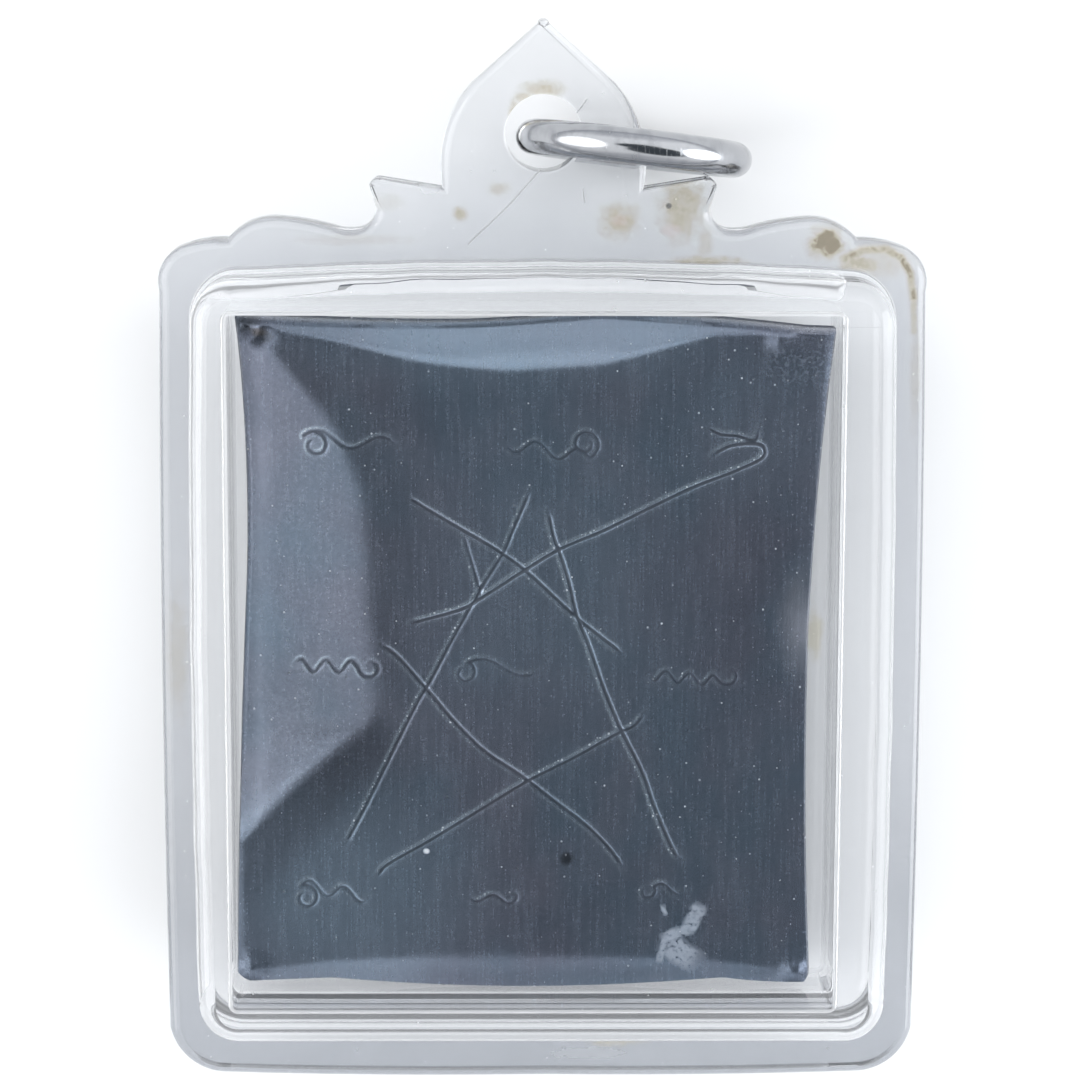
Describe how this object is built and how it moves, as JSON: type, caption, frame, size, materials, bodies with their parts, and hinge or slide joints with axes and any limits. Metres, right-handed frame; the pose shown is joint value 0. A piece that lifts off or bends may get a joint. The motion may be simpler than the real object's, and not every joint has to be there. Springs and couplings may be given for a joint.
{
  "type": "takrut amulet in a clear case",
  "caption": "Folded lead sheet sealed in a clear, flat acrylic case with a flame-shaped crest, and a steel jump ring through the crest's hole.",
  "frame": {"origin": "centre of the flat back face of the case, which lies on the surface", "axes": "+Z out of the window towards the viewer, +Y towards the tip of the crest, +X to the right"},
  "size_m": [0.0392, 0.0552, 0.012],
  "materials": {
    "clear_acrylic": "clear, polished, scratched and stained",
    "lead": "dull, dark grey, scribed",
    "ring_steel": "bright"
  },
  "bodies": {
    "root": {"front_shell": "clear_acrylic", "back_shell": "clear_acrylic", "takrut_sheet": "lead", "jump_ring": "ring_steel"}
  },
  "joints": []
}
